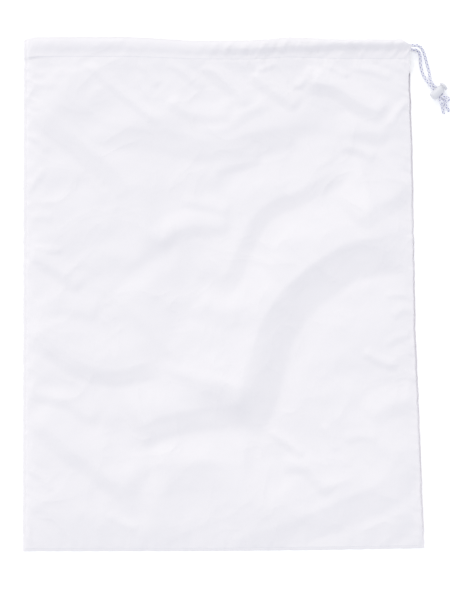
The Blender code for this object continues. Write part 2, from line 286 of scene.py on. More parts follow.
def nylon_material(name):
    """Nylon taffeta, plain woven and calendered.

    The eye sees a soft satin gloss that changes from facet to facet, hairline creases where the
    thin cloth has been folded, and a faint square weave. The real threads are 0.25 mm apart, too
    fine to show, so the weave is drawn at 0.9 mm.
    """
    colour = colours().nylon
    material, shader = new_material(
        name, colour, 0.4, Sheen_Weight=0.02, Sheen_Roughness=0.4, IOR=1.53, Specular_IOR_Level=0.28
    )
    place = add_node(material, PLACE, {})
    at = [(place, "Object", "Vector")]
    weave_scale = math.tau / (20 * 0.9 * MM)
    warp = add_node(material, WAVE, {"bands_direction": "X", "Scale": weave_scale}, at)
    weft = add_node(material, WAVE, {"bands_direction": "Y", "Scale": weave_scale}, at)
    weave = add_node(material, MATHS, {"operation": "MULTIPLY"}, [(warp, "Fac", 0), (weft, "Fac", 1)])
    creases = add_node(
        material,
        NOISE,
        {"noise_type": "RIDGED_MULTIFRACTAL", "Scale": 13.0, "Detail": 2.5, "Roughness": 0.5,
         "Distortion": 0.5, "Offset": 0.9, "Gain": 1.6},
        at,
    )
    crinkle = add_node(material, NOISE, {"Scale": 75.0, "Detail": 4.0, "Roughness": 0.6}, at)
    cloud = add_node(material, NOISE, {"Scale": 9.0, "Detail": 2.0}, at)
    first = add_node(material, BUMP, {"Strength": 0.12, "Distance": 0.05 * MM}, [(weave, 0, "Height")])
    second = add_node(
        material,
        BUMP,
        {"Strength": 0.35, "Distance": 0.6 * MM},
        [(crinkle, "Fac", "Height"), (first, "Normal", "Normal")],
    )
    add_node(
        material,
        BUMP,
        {"Strength": 0.6, "Distance": 2.0 * MM},
        [(creases, "Fac", "Height"), (second, "Normal", "Normal")],
        [("Normal", shader, "Normal")],
    )
    add_node(
        material,
        RANGE,
        {"To Min": 0.36, "To Max": 0.50},
        [(crinkle, "Fac", "Value")],
        [("Result", shader, "Roughness")],
    )
    add_node(
        material,
        MIX,
        {"data_type": "RGBA", "A": shaded(colour, 0.985), "B": colour},
        [(cloud, "Fac", "Factor")],
        [("Result", shader, "Base Color")],
    )
    return material


def thread_material(name):
    """Spun polyester sewing thread, twisted in three plies: matt, with fine fibres on its surface."""
    colour = colours().thread
    material, shader = new_material(name, colour, 0.62, Sheen_Weight=0.25, Sheen_Roughness=0.5)
    place = add_node(material, PLACE, {})
    fibres = add_node(
        material, NOISE, {"Scale": 2200.0, "Detail": 3.0, "Roughness": 0.7}, [(place, "Object", "Vector")]
    )
    add_node(
        material,
        BUMP,
        {"Strength": 0.4, "Distance": 0.08 * MM},
        [(fibres, "Fac", "Height")],
        [("Normal", shader, "Normal")],
    )
    add_node(
        material,
        MIX,
        {"data_type": "RGBA", "A": shaded(colour, 0.9), "B": colour},
        [(fibres, "Fac", "Factor")],
        [("Result", shader, "Base Color")],
    )
    return material


def braid_material(name):
    """Braided polyester cord: matt yarns, with painted shade in the gaps between them.

    The painted shade is read from the braid's own relief, kept on the mesh, so that it follows the cord.
    """
    colour = colours().cord
    material, shader = new_material(name, colour, 0.62, Sheen_Weight=0.3, Sheen_Roughness=0.5)
    relief = add_node(material, "ShaderNodeAttribute", {"attribute_name": "relief"})
    # painted shade: where the relief is low, between the yarns, the cord is coloured a dark blue grey
    painted_gap_shade = add_node(material, RANGE, {"From Min": 0.18, "From Max": 0.42}, [(relief, "Fac", "Value")])
    add_node(
        material,
        MIX,
        {"data_type": "RGBA", "A": linear("8686BA"), "B": colour},
        [(painted_gap_shade, "Result", "Factor")],
        [("Result", shader, "Base Color")],
    )
    place = add_node(material, PLACE, {})
    fibres = add_node(material, NOISE, {"Scale": 2600.0, "Detail": 2.0}, [(place, "Object", "Vector")])
    add_node(
        material,
        BUMP,
        {"Strength": 0.35, "Distance": 0.05 * MM},
        [(fibres, "Fac", "Height")],
        [("Normal", shader, "Normal")],
    )
    return material


def plastic_material(name):
    """Injection-moulded acetal: smooth, satin from the mould, with a faint grain."""
    colour = colours().plastic
    material, shader = new_material(name, colour, 0.34, IOR=1.48)
    place = add_node(material, PLACE, {})
    grain = add_node(material, NOISE, {"Scale": 900.0, "Detail": 3.0}, [(place, "Object", "Vector")])
    add_node(
        material,
        BUMP,
        {"Strength": 0.12, "Distance": 0.04 * MM},
        [(grain, "Fac", "Height")],
        [("Normal", shader, "Normal")],
    )
    add_node(
        material,
        RANGE,
        {"To Min": 0.28, "To Max": 0.40},
        [(grain, "Fac", "Value")],
        [("Result", shader, "Roughness")],
    )
    add_node(
        material,
        MIX,
        {"data_type": "RGBA", "A": shaded(colour, 0.97), "B": colour},
        [(grain, "Fac", "Factor")],
        [("Result", shader, "Base Color")],
    )
    return material


def spring_material(name):
    """Drawn spring steel wire: bright, with fine drawing marks that vary its gloss."""
    colour = linear("C4C5C9")
    material, shader = new_material(name, colour, 0.28, Metallic=1.0)
    place = add_node(material, PLACE, {})
    marks = add_node(material, NOISE, {"Scale": 3000.0, "Detail": 2.0}, [(place, "Object", "Vector")])
    add_node(
        material,
        RANGE,
        {"To Min": 0.22, "To Max": 0.38},
        [(marks, "Fac", "Value")],
        [("Result", shader, "Roughness")],
    )
    add_node(
        material,
        MIX,
        {"data_type": "RGBA", "A": shaded(colour, 0.85), "B": colour},
        [(marks, "Fac", "Factor")],
        [("Result", shader, "Base Color")],
    )
    return material


def floor_material(name):
    """A matt white table lit from below, so that shadows on it stay faint."""
    colour = colours().floor
    material, shader = new_material(name, colour, 0.85, Emission_Color=colour, Emission_Strength=0.22)
    place = add_node(material, PLACE, {})
    cloud = add_node(material, NOISE, {"Scale": 3.0, "Detail": 2.0}, [(place, "Object", "Vector")])
    add_node(
        material,
        MIX,
        {"data_type": "RGBA", "A": shaded(colour, 0.995), "B": colour},
        [(cloud, "Fac", "Factor")],
        [("Result", shader, "Base Color")],
    )
    return material


def material_named(name, make):
    """The material of that name, made once."""
    return bpy.data.materials.get(name) or make(name)


def nylon():
    return material_named("nylon_taffeta_calendered", nylon_material)


def thread():
    return material_named("spun_polyester_thread", thread_material)


def braid():
    return material_named("braided_polyester_cord", braid_material)


def plastic():
    return material_named("acetal_moulded_satin", plastic_material)


def spring_steel():
    return material_named("spring_steel_drawn_wire", spring_material)


# ---------------------------------------------------------------- mesh helpers


def mesh_object(name, points, faces, material):
    """A smooth-shaded object made from points and faces."""
    mesh = bpy.data.meshes.new(name)
    mesh.from_pydata([tuple(p) for p in points], [], faces)
    mesh.update()
    mesh.shade_smooth()
    obj = bpy.data.objects.new(name, mesh)
    bpy.context.scene.collection.objects.link(obj)
    mesh.materials.append(material)
    return obj


def only(obj):
    """Selects one object alone and makes it active."""
    bpy.ops.object.select_all(action="DESELECT")
    obj.select_set(True)
    bpy.context.view_layer.objects.active = obj


def apply_modifiers(obj):
    """Applies all of an object's modifiers, in order."""
    only(obj)
    for modifier in list(obj.modifiers):
        bpy.ops.object.modifier_apply(modifier=modifier.name)


def context_object(name):
    """The active object, renamed."""
    obj = bpy.context.active_object
    obj.name = name
    obj.data.name = name
    return obj


def wire_mesh(name, points, radius, resolution):
    """A round wire through points, as a mesh."""
    curve = bpy.data.curves.new(name, "CURVE")
    curve.dimensions = "3D"
    curve.bevel_depth = radius
    curve.bevel_resolution = resolution
    curve.use_fill_caps = True
    spline = curve.splines.new("POLY")
    spline.points.add(len(points) - 1)
    for knot, point in zip(spline.points, points):
        knot.co = (*point, 1.0)
    obj = bpy.data.objects.new(name, curve)
    bpy.context.scene.collection.objects.link(obj)
    only(obj)
    bpy.ops.object.convert(target="MESH")
    wire = context_object(name)
    wire.data.materials.clear()
    wire.data.shade_smooth()
    return wire


def settle(obj, body, node):
    """Rides a piece on its body, in the place of a node of the frame, and hides that node."""
    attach(obj, body)
    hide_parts(node)


def along(points, at):
    """What the second value of (first, second) points is at some firsts, on straight runs."""
    firsts, seconds = zip(*points)
    return np.interp(at, firsts, seconds)


def smooth_curve(points, spacing):
    """Points about one spacing apart on a Catmull-Rom curve through a route's points."""
    route = [Vector(point) for point in points]
    route = [route[0] * 2 - route[1], *route, route[-1] * 2 - route[-2]]
    curve = []
    for a, b, c, d in zip(route, route[1:], route[2:], route[3:]):
        steps = max(1, round((c - b).length / spacing))
        for step in range(steps):
            t = step / steps
            curve.append(
                0.5
                * (
                    2 * b
                    + (c - a) * t
                    + (2 * a - 5 * b + 4 * c - d) * t**2
                    + (3 * b - a - 3 * c + d) * t**3
                )
            )
    return [*curve, route[-2]]


def evenly(points, spacing):
    """The same line with its points one spacing apart."""
    line = np.array([tuple(p) for p in points])
    steps = np.linalg.norm(np.diff(line, axis=0), axis=1)
    travelled = np.concatenate([[0.0], np.cumsum(steps)])
    count = max(2, round(travelled[-1] / spacing) + 1)
    at = np.linspace(0.0, travelled[-1], count)
    return np.stack([np.interp(at, travelled, line[:, i]) for i in range(3)], axis=1), at


def carried_frames(line):
    """Two side directions for each point of a line, carried along it without twist."""
    ways = np.gradient(line, axis=0)
    ways /= np.linalg.norm(ways, axis=1)[:, None]
    start = np.cross(ways[0], (0.0, 0.0, 1.0))
    if np.linalg.norm(start) < 0.1:
        start = np.cross(ways[0], (0.0, 1.0, 0.0))
    sides = [start / np.linalg.norm(start)]
    for way in ways[1:]:
        side = sides[-1] - way * np.dot(sides[-1], way)
        sides.append(side / np.linalg.norm(side))
    sides = np.array(sides)
    return sides, np.cross(ways, sides)


BRAID_PITCH = 6.0 * MM


def braid_relief(around, travelled, pitch, yarns=3):
    """Height from 0 to 1 of a braid whose yarns run round both ways, over and under by turns."""
    turn = yarns * around
    step = math.tau * travelled / pitch
    one = np.cos((turn + step) / 2) ** 2 * (1 + 0.35 * np.cos(turn))
    other = np.cos((turn - step) / 2) ** 2 * (1 - 0.35 * np.cos(turn))
    return np.maximum(one, other) / 1.35


def braided_cord(name, route, diameter, rounded_ends=True, ring_mm=0.4, sides=28, squeezed=0.0):
    """A closed tube with a braid's relief along a route; returns it and its centreline.

    The last stretch, as long as squeezed says, is narrower, where the cord lock grips it.
    """
    line, travelled = evenly(smooth_curve(route, 1.0 * MM), ring_mm * MM)
    side, up = carried_frames(line)
    around = np.linspace(0.0, math.tau, sides, endpoint=False)
    relief = braid_relief(around[None, :], travelled[:, None], BRAID_PITCH)
    radius = diameter / 2 * (1.02 + 0.20 * relief)
    if squeezed:
        grip = smooth_step((travelled - travelled[-1] + squeezed) / (4 * MM))
        radius = radius * (1 - 0.10 * grip[:, None])
    if rounded_ends:
        reach = diameter / 2
        near = np.minimum(travelled, travelled[-1] - travelled)
        rounding = np.sqrt(np.clip(1 - (1 - np.clip(near / reach, 0, 1)) ** 2, 0.06, 1))
        radius = radius * rounding[:, None]
    ring = (
        side[:, None, :] * np.cos(around)[None, :, None] + up[:, None, :] * np.sin(around)[None, :, None]
    )
    points = (line[:, None, :] + ring * radius[:, :, None]).reshape(-1, 3)
    faces = []
    rings = len(line)
    for i in range(rings - 1):
        for j in range(sides):
            k = (j + 1) % sides
            faces.append((i * sides + j, i * sides + k, (i + 1) * sides + k, (i + 1) * sides + j))
    faces.append(tuple(reversed(range(sides))))
    faces.append(tuple(range((rings - 1) * sides, rings * sides)))
    obj = mesh_object(name, points, faces, braid())
    face_outwards(obj)
    attribute = obj.data.attributes.new("relief", "FLOAT", "POINT")
    attribute.data.foreach_set("value", relief.reshape(-1).astype(np.float32))
    return obj, line


def face_outwards(obj):
    """Makes a closed mesh's faces agree and point outwards."""
    shape = bmesh.new()
    shape.from_mesh(obj.data)
    bmesh.ops.recalc_face_normals(shape, faces=shape.faces)
    if shape.calc_volume(signed=True) < 0:
        bmesh.ops.reverse_faces(shape, faces=shape.faces)
    shape.to_mesh(obj.data)
    shape.free()


# ---------------------------------------------------------------- cloth shape

# Folds: (height in mm, width of the lit side in mm, width of the shaded side in mm, ridge line).
# Each ridge line runs from left to right, so that its shaded side faces the bottom of the bag.
FOLDS = (
    # the long fold's wider lower half
    (4, 20, 46, ((0.022, -0.170), (0.040, -0.120), (0.056, -0.070), (0.066, -0.025), (0.090, 0.010))),
    # the long fold from the middle up to the right seam
    (18, 62, 53, (
        (0.002, -0.179), (0.020, -0.143), (0.034, -0.096), (0.050, -0.045), (0.073, -0.004),
        (0.103, 0.026), (0.137, 0.052), (0.174, 0.072), (0.219, 0.080), (0.263, 0.099))),
    # its upper branch at the right seam
    (4.5, 26, 19, ((0.178, 0.096), (0.207, 0.118), (0.235, 0.135), (0.263, 0.163))),
    # the shorter fold above it
    (6, 34, 22, (
        (-0.016, 0.001), (0.006, 0.035), (0.020, 0.068), (0.042, 0.110), (0.070, 0.132),
        (0.100, 0.143), (0.138, 0.164), (0.167, 0.183))),
    # the diagonal from the upper left seam
    (5.5, 30, 26, (
        (-0.272, 0.268), (-0.247, 0.254), (-0.219, 0.233), (-0.190, 0.206), (-0.159, 0.181),
        (-0.132, 0.150), (-0.112, 0.106), (-0.094, 0.046))),
    # the broad fold below the casing
    (5.5, 44, 34, (
        (-0.275, 0.304), (-0.230, 0.288), (-0.194, 0.260), (-0.155, 0.238), (-0.114, 0.232),
        (-0.075, 0.228), (-0.033, 0.217), (0.002, 0.214), (0.036, 0.224), (0.081, 0.233),
        (0.148, 0.238))),
    # the bowl at the left middle
    (5.5, 36, 23, (
        (-0.264, -0.026), (-0.250, -0.058), (-0.221, -0.078), (-0.190, -0.096), (-0.155, -0.104),
        (-0.125, -0.100), (-0.089, -0.085))),
    # the bowl's upper rim
    (2.0, 16, 12, ((-0.264, -0.038), (-0.240, -0.022), (-0.205, -0.021), (-0.172, -0.032))),
    # the diagonal at the lower left
    (5, 30, 20, (
        (-0.271, -0.165), (-0.240, -0.190), (-0.212, -0.215), (-0.186, -0.231), (-0.155, -0.257),
        (-0.114, -0.279))),
    # the band that meets the long fold's lower end
    (6, 40, 33, ((-0.130, -0.189), (-0.082, -0.167), (-0.036, -0.157), (0.003, -0.153), (0.034, -0.140))),
    # the band below it
    (3, 22, 40, ((-0.102, -0.243), (-0.058, -0.236), (-0.008, -0.233), (0.045, -0.238))),
    # the lower right corner's slope
    (8, 60, 42, (
        (0.003, -0.342), (0.057, -0.326), (0.096, -0.313), (0.135, -0.297), (0.173, -0.279),
        (0.211, -0.263), (0.232, -0.239), (0.246, -0.215), (0.270, -0.190))),
    # the fold between the two long ones
    (3, 24, 24, (
        (-0.041, -0.004), (-0.016, -0.019), (0.003, -0.025), (0.025, -0.019), (0.053, -0.003),
        (0.078, 0.015))),
    # the light lobe left of the middle
    (3, 40, 30, (
        (-0.155, 0.007), (-0.125, -0.024), (-0.090, -0.063), (-0.058, -0.093), (-0.043, -0.124),
        (0.000, -0.142))),
    # short folds that start at the casing
    (2, 8, 8, ((-0.196, 0.326), (-0.158, 0.292), (-0.123, 0.264), (-0.086, 0.233))),
    (1.9, 7, 7, ((-0.119, 0.326), (-0.105, 0.307), (-0.091, 0.288))),
    (1.9, 8, 8, ((-0.077, 0.326), (-0.051, 0.304), (-0.029, 0.285))),
    (3.4, 12, 12, ((-0.030, 0.324), (-0.001, 0.296), (0.018, 0.281), (0.032, 0.258))),
    (3.2, 12, 11, ((0.036, 0.307), (0.068, 0.283), (0.088, 0.268), (0.103, 0.257))),
    (5.5, 16, 17, ((0.111, 0.296), (0.150, 0.289), (0.174, 0.274), (0.196, 0.261), (0.228, 0.247))),
    (1.8, 6, 6, ((0.136, 0.322), (0.155, 0.313), (0.173, 0.300))),
    (2.0, 6, 5, ((0.045, 0.310), (0.064, 0.318), (0.081, 0.326))),
    (1.8, 6, 5, ((0.100, 0.285), (0.114, 0.299), (0.123, 0.318))),
    (1.8, 7, 7, ((0.175, 0.318), (0.206, 0.310), (0.234, 0.299))),
    # arcs below them
    (2.4, 12, 11, ((-0.080, 0.271), (-0.051, 0.254), (-0.020, 0.246), (0.014, 0.251))),
    (1.6, 10, 10, ((-0.044, 0.235), (-0.016, 0.228), (0.006, 0.233), (0.031, 0.251), (0.064, 0.264))),
    (2.6, 16, 16, ((0.153, 0.221), (0.192, 0.226), (0.231, 0.221))),
    (2.3, 8, 8, ((0.159, 0.206), (0.185, 0.200), (0.211, 0.188))),
    (1.8, 10, 8, ((-0.061, 0.131), (-0.020, 0.122), (0.010, 0.114))),
    (2.8, 16, 15, ((-0.095, 0.064), (-0.070, 0.086), (-0.039, 0.096), (0.014, 0.093))),
    (1.6, 9, 8, ((-0.019, 0.171), (0.020, 0.179), (0.053, 0.190))),
    # short folds from the left seam
    (1.6, 6, 6, ((-0.271, 0.143), (-0.258, 0.160), (-0.247, 0.176))),
    (2.8, 12, 12, ((-0.275, 0.060), (-0.244, 0.042), (-0.216, 0.022), (-0.197, 0.007))),
    (1.3, 5, 4, ((-0.269, 0.065), (-0.247, 0.063), (-0.222, 0.060))),
    (1.5, 7, 7, ((-0.272, 0.104), (-0.252, 0.108), (-0.236, 0.104))),
    (2.4, 12, 11, (
        (-0.277, -0.122), (-0.255, -0.139), (-0.221, -0.147), (-0.194, -0.165), (-0.172, -0.179))),
    (1.5, 6, 5, ((-0.273, -0.243), (-0.255, -0.254), (-0.239, -0.274))),
    (1.4, 6, 5, ((-0.165, -0.304), (-0.144, -0.317), (-0.118, -0.326))),
    (1.5, 6, 5, ((-0.275, 0.221), (-0.258, 0.213), (-0.244, 0.196))),
    # short folds from the right seam
    (2.8, 16, 18, ((0.200, -0.174), (0.227, -0.156), (0.270, -0.142))),
    (2.4, 8, 7, ((0.192, -0.079), (0.216, -0.092), (0.242, -0.101))),
    (1.7, 6, 6, ((0.225, -0.071), (0.242, -0.060), (0.261, -0.056))),
    (1.4, 5, 4, ((0.223, -0.003), (0.245, -0.001), (0.266, -0.004))),
    (1.8, 7, 6, ((0.234, -0.032), (0.250, -0.021), (0.267, -0.022))),
    (1.6, 6, 5, ((0.231, 0.232), (0.242, 0.254), (0.259, 0.271))),
    # creases over the lower right lump
    (2.2, 7, 6, ((0.064, -0.190), (0.092, -0.210), (0.111, -0.224))),
    (2.6, 12, 11, ((0.078, -0.239), (0.116, -0.239), (0.131, -0.260), (0.149, -0.278))),
    (1.5, 6, 5, ((0.136, -0.179), (0.148, -0.196), (0.153, -0.218))),
    (1.5, 8, 7, ((0.167, -0.204), (0.189, -0.196), (0.214, -0.201))),
)

# Heights of the front panel: at a sewn edge, over the bag, and along the casing over the cord
SEAM_END_Y = 0.306
EDGE_Z = 0.9 * MM
BODY_Z = 9.2 * MM
CASING_LINE_Z = 13.4 * MM
CASING_CROWN_Z = 15.4 * MM
CASING_TOP_Z = 14.0 * MM


def smooth_step(t):
    t = np.clip(t, 0.0, 1.0)
    return t * t * (3 - 2 * t)


def seam_rise(distance, reach):
    """Share of its full height that a panel has reached at a distance from a sewn edge."""
    distance = np.clip(distance, 0, None)
    groove = 0.35 * np.exp(-(((distance - 4 * MM) / (1.6 * MM)) ** 2))
    return (1 - np.exp(-distance / reach)) * (1 - groove)


def fold_height(x, y, height, lit, shade, line):
    """The height that one fold adds at points of the cloth, in metres.

    The lit side swells gently and the shaded side falls in a straight ramp, as crisp nylon does.
    """
    path = np.array([tuple(p)[:2] for p in smooth_curve([(*p, 0.0) for p in line], 5 * MM)])
    best = np.full(x.shape, np.inf)
    signed = np.zeros(x.shape)
    share = np.zeros(x.shape)
    count = len(path) - 1
    for i, (a, b) in enumerate(zip(path, path[1:])):
        way = b - a
        t = np.clip(((x - a[0]) * way[0] + (y - a[1]) * way[1]) / float(way @ way), 0, 1)
        distance = np.hypot(x - a[0] - t * way[0], y - a[1] - t * way[1])
        closer = distance < best
        best = np.where(closer, distance, best)
        side = way[0] * (y - a[1]) - way[1] * (x - a[0])
        signed = np.where(closer, np.where(side > 0, distance, -distance), signed)
        share = np.where(closer, (i + t) / count, share)
    lit_side = 0.5 * (1 + np.cos(np.pi * np.clip(signed / (2.0 * lit * MM), 0, 1)))
    left = 1 + np.clip(signed, None, 0) / (shade * MM)
    shaded_side = 0.5 * (left + np.sqrt(left * left + 0.005))
    fade = smooth_step(np.minimum(share, 1 - share) / 0.15)
    return height * MM * fade * np.where(signed > 0, lit_side, shaded_side)


def fold_relief(x, y):
    """All the folds together, less most of their local mean, so that the panel stays low."""
    columns, rows = np.linspace(-0.30, 0.30, 61), np.linspace(-0.38, 0.38, 77)
    mean = sum(fold_height(*np.meshgrid(columns, rows), *fold) for fold in FOLDS)
    for _ in range(60):
        wide = np.pad(mean, 1, mode="edge")
        mean = (wide[:-2, 1:-1] + wide[2:, 1:-1] + wide[1:-1, :-2] + wide[1:-1, 2:] + 4 * mean) / 8
    column = np.clip((x - columns[0]) / (columns[1] - columns[0]), 0, len(columns) - 1.001)
    row = np.clip((y - rows[0]) / (rows[1] - rows[0]), 0, len(rows) - 1.001)
    i, j = row.astype(int), column.astype(int)
    u, v = row - i, column - j
    low = mean[i, j] * (1 - v) + mean[i, j + 1] * v
    high = mean[i + 1, j] * (1 - v) + mean[i + 1, j + 1] * v
    return sum(fold_height(x, y, *fold) for fold in FOLDS) - 0.85 * (low * (1 - u) + high * u)


def smooth_noise(x, y, seed, size):
    """Smooth random height from -1 to 1 made of a few waves of about one size, in metres."""
    draw = random.Random(seed)
    total = np.zeros(x.shape)
    for _ in range(7):
        angle = draw.uniform(0, math.pi)
        wave = size * draw.uniform(0.7, 1.5)
        phase = draw.uniform(0, math.tau)
        total += np.sin(math.tau * (x * math.cos(angle) + y * math.sin(angle)) / wave + phase)
    return total / 4


def pucker(at, seed, spacing):
    """Uneven gathers along a seam: a height from 0 to 1 at distances along it."""
    draw = random.Random(seed)
    total = np.zeros(np.shape(at))
    for scale in (1.0, 0.62, 0.41):
        phase = draw.uniform(0, math.tau)
        drift = draw.uniform(0, math.tau)
        bend = 0.8 * np.sin(math.tau * at / (spacing * 5.3) + drift)
        wave = np.sin(math.pi * at / (spacing * scale) + phase + bend)
        total += scale * (1 - np.abs(wave) ** 0.8)
    return total / 1.4


def right_rise(distance):
    """The rise from the right seam: a thin curled rim, a narrow dark groove, then a steep side."""
    rim = 0.28 * (1 - smooth_step((distance - 0.4 * MM) / (0.5 * MM)))
    wall = smooth_step((distance - 2.1 * MM) / (1.1 * MM))
    return rim + wall * (0.72 + 0.28 * (1 - np.exp(-np.clip(distance, 0, None) / (17 * MM))))


def casing_rumple(x):
    """How rumpled the casing is, from 0 to 1: little on the left and much on the right."""
    return 0.15 + 0.85 * smooth_step((x + 0.06) / 0.10) * (0.45 + 0.55 * pucker(x, 35, 68 * MM))


def casing_line_height(x):
    """The height of the casing's stitch line, lower where the casing is rumpled."""
    return CASING_LINE_Z - 2.4 * MM * casing_rumple(x)


def casing_height(x, share, left):
    """The casing's outer surface over the cord, flatter on the left and rumpled on the right."""
    rumple = casing_rumple(x)
    bunched = smooth_step((x - 0.11) / 0.05)
    cord_share = (OUTER_ROUTE[0][1] - CASING_LINE) / (TOP - CASING_LINE) + 0.20 * bunched
    tight = smooth_step((x + 0.03) / 0.08)
    crown_z = CASING_CROWN_Z + (1.8 * tight + 1.6 * bunched) * MM
    valley = 0.12 + 0.10 * rumple + 0.24 * bunched
    rising = smooth_step((share - valley) / (cord_share - valley))
    falling = smooth_step((share - cord_share) / (1 - cord_share))
    line_z = casing_line_height(x)
    top_z = CASING_TOP_Z + (1.8 * tight + 2.0 * bunched) * MM
    z = line_z + (crown_z - line_z) * rising - (crown_z - top_z) * falling**2
    nips = pucker(x - 17 * MM * share, 31, 23 * MM)
    fine = pucker(x - 9 * MM * share, 33, 9 * MM)
    z += MM * rumple * (3.3 * nips + 1.5 * fine - 1.1) * np.sin(np.pi * np.clip(share, 0, 1)) ** 0.6
    return EDGE_Z + (z - EDGE_Z) * seam_rise(left, 6 * MM)


def cloth_height(x, y):
    """The front panel's outer surface, from the seams up over the folds."""
    left = x - along(LEFT_EDGE, y)
    right = along(RIGHT_EDGE, y) - x
    bottom = y - BOTTOM
    below_casing = np.clip(CASING_LINE - y, 0, None)
    # the right seam ends below the casing, so the cloth stands open at the cord's exit
    open_right = right + 40 * MM * smooth_step((y - SEAM_END_Y) / (CASING_LINE - SEAM_END_Y))
    rise = seam_rise(left, 10 * MM) * right_rise(open_right) * seam_rise(bottom, 30 * MM)
    base = BODY_Z + (CASING_LINE_Z - BODY_Z) * np.exp(-below_casing / (90 * MM))
    base -= (CASING_LINE_Z - casing_line_height(x)) * np.exp(-below_casing / (9 * MM))
    folds = sizes().fold * fold_relief(x, y)
    folds = folds * smooth_step(below_casing / (22 * MM))
    loose = 0.5 * MM * smooth_noise(x, y, 3, 0.14) + 0.3 * MM * smooth_noise(x, y, 5, 0.06)
    loose = loose * smooth_step(below_casing / (15 * MM))
    # gathers that start at the casing's stitching and fade into the panel
    reach = np.exp(-below_casing / ((13 + 14 * pucker(x, 13, 60 * MM)) * MM))
    gathers = 2.4 * MM * (pucker(x - 0.35 * below_casing, 11, 16 * MM) - 0.4) * reach
    gathers = gathers * (0.35 + 0.65 * smooth_step((x + 0.10) / 0.16))
    gathers = gathers * smooth_step(below_casing / (3 * MM))
    body = (base - EDGE_Z + folds + loose + gathers) * rise
    # short puckers along the sewn sides and the bottom
    for distance, place, seed, size in (
        (left, y + 0.5 * left, 21, 19), (right, y - 0.4 * right, 23, 17), (bottom, x, 27, 23)
    ):
        near = np.exp(-np.clip(distance, 0, None) / (9 * MM)) * smooth_step(distance / (5 * MM))
        near = near * smooth_step(below_casing / (6 * MM))
        body += 2.2 * MM * (pucker(place, seed, size * MM) - 0.35) * near
    pulled_in = 0.16 * MM * pucker(x, 37, 14 * MM) * smooth_step(left / (20 * MM))
    body -= pulled_in * np.exp(-((below_casing / (1.6 * MM)) ** 2))
    over_allowance = 1.1 * MM * smooth_step(np.minimum(np.minimum(left, open_right), bottom) / (4 * MM))
    surface = EDGE_Z + np.maximum(body, over_allowance)
    share = (y - CASING_LINE) / (TOP - CASING_LINE)
    return np.where(y > CASING_LINE, casing_height(x, share, left), surface)


def strayed(x, y):
    """The places of a panel's points once its sewn outline strays from the straight."""
    up = smooth_step((y - 0.29) / (TOP - 0.29))
    down = smooth_step((BOTTOM + 0.12 - y) / 0.12)
    fray = 0.5 * MM * (pucker(x, 42, 31 * MM) - 0.5)
    y = y + up * (along(TOP_SHIFT, x) * MM + fray) + down * (along(BOTTOM_SHIFT, x) * MM + fray)
    left = smooth_step(1 - (x - along(LEFT_EDGE, y)) / (30 * MM))
    right = smooth_step(1 - (along(RIGHT_EDGE, y) - x) / (30 * MM))
    side = 0.8 * MM * (pucker(y, 43, 47 * MM) - 0.5) + 0.5 * MM * (pucker(y, 44, 17 * MM) - 0.5)
    return x + (left - right) * side, y


def panel_rows():
    """Row places from the bottom to the top, closer together at the seams and the casing."""
    low = BOTTOM + np.linspace(0, 1, 13) ** 1.4 * 0.022
    middle = np.linspace(BOTTOM + 0.022, 0.250, 168)[1:]
    high = np.linspace(0.250, TOP, 66)[1:]
    return np.concatenate([low, middle, high])


def panel_columns():
    """Shares across the width, closer together at the side seams."""
    side = np.linspace(0, 1, 23) ** 1.5 * 0.036
    middle = np.linspace(0.036, 0.964, 148)[1:-1]
    return np.concatenate([side, middle, 1 - side[::-1]])


def panel_grid():
    shares, ys = np.meshgrid(panel_columns(), panel_rows())
    left, right = along(LEFT_EDGE, ys), along(RIGHT_EDGE, ys)
    xs = left + (right - left) * shares
    return xs, ys


def grid_object(name, xs, ys, zs, material):
    rows, columns = xs.shape
    faces = []
    for i in range(rows - 1):
        for j in range(columns - 1):
            a = i * columns + j
            faces.append((a, a + 1, a + columns + 1, a + columns))
    points = np.stack([xs, ys, zs], axis=-1).reshape(-1, 3)
    return mesh_object(name, points, faces, material)


def thicken(obj, thickness):
    """Gives a sheet its thickness, half on each side."""
    wall = obj.modifiers.new("Cloth thickness", "SOLIDIFY")
    wall.thickness = thickness
    wall.offset = 0.0
    apply_modifiers(obj)


# The cloth simulation that makes the small crinkles: its length in frames, how much the panel
# grows, how firmly its points keep their places, and its stiffness against bending
CRINKLE_FRAMES = 20
CRINKLE_GROWTH = 0.006
CRINKLE_HOLD = 0.05
CRINKLE_BENDING = 0.2


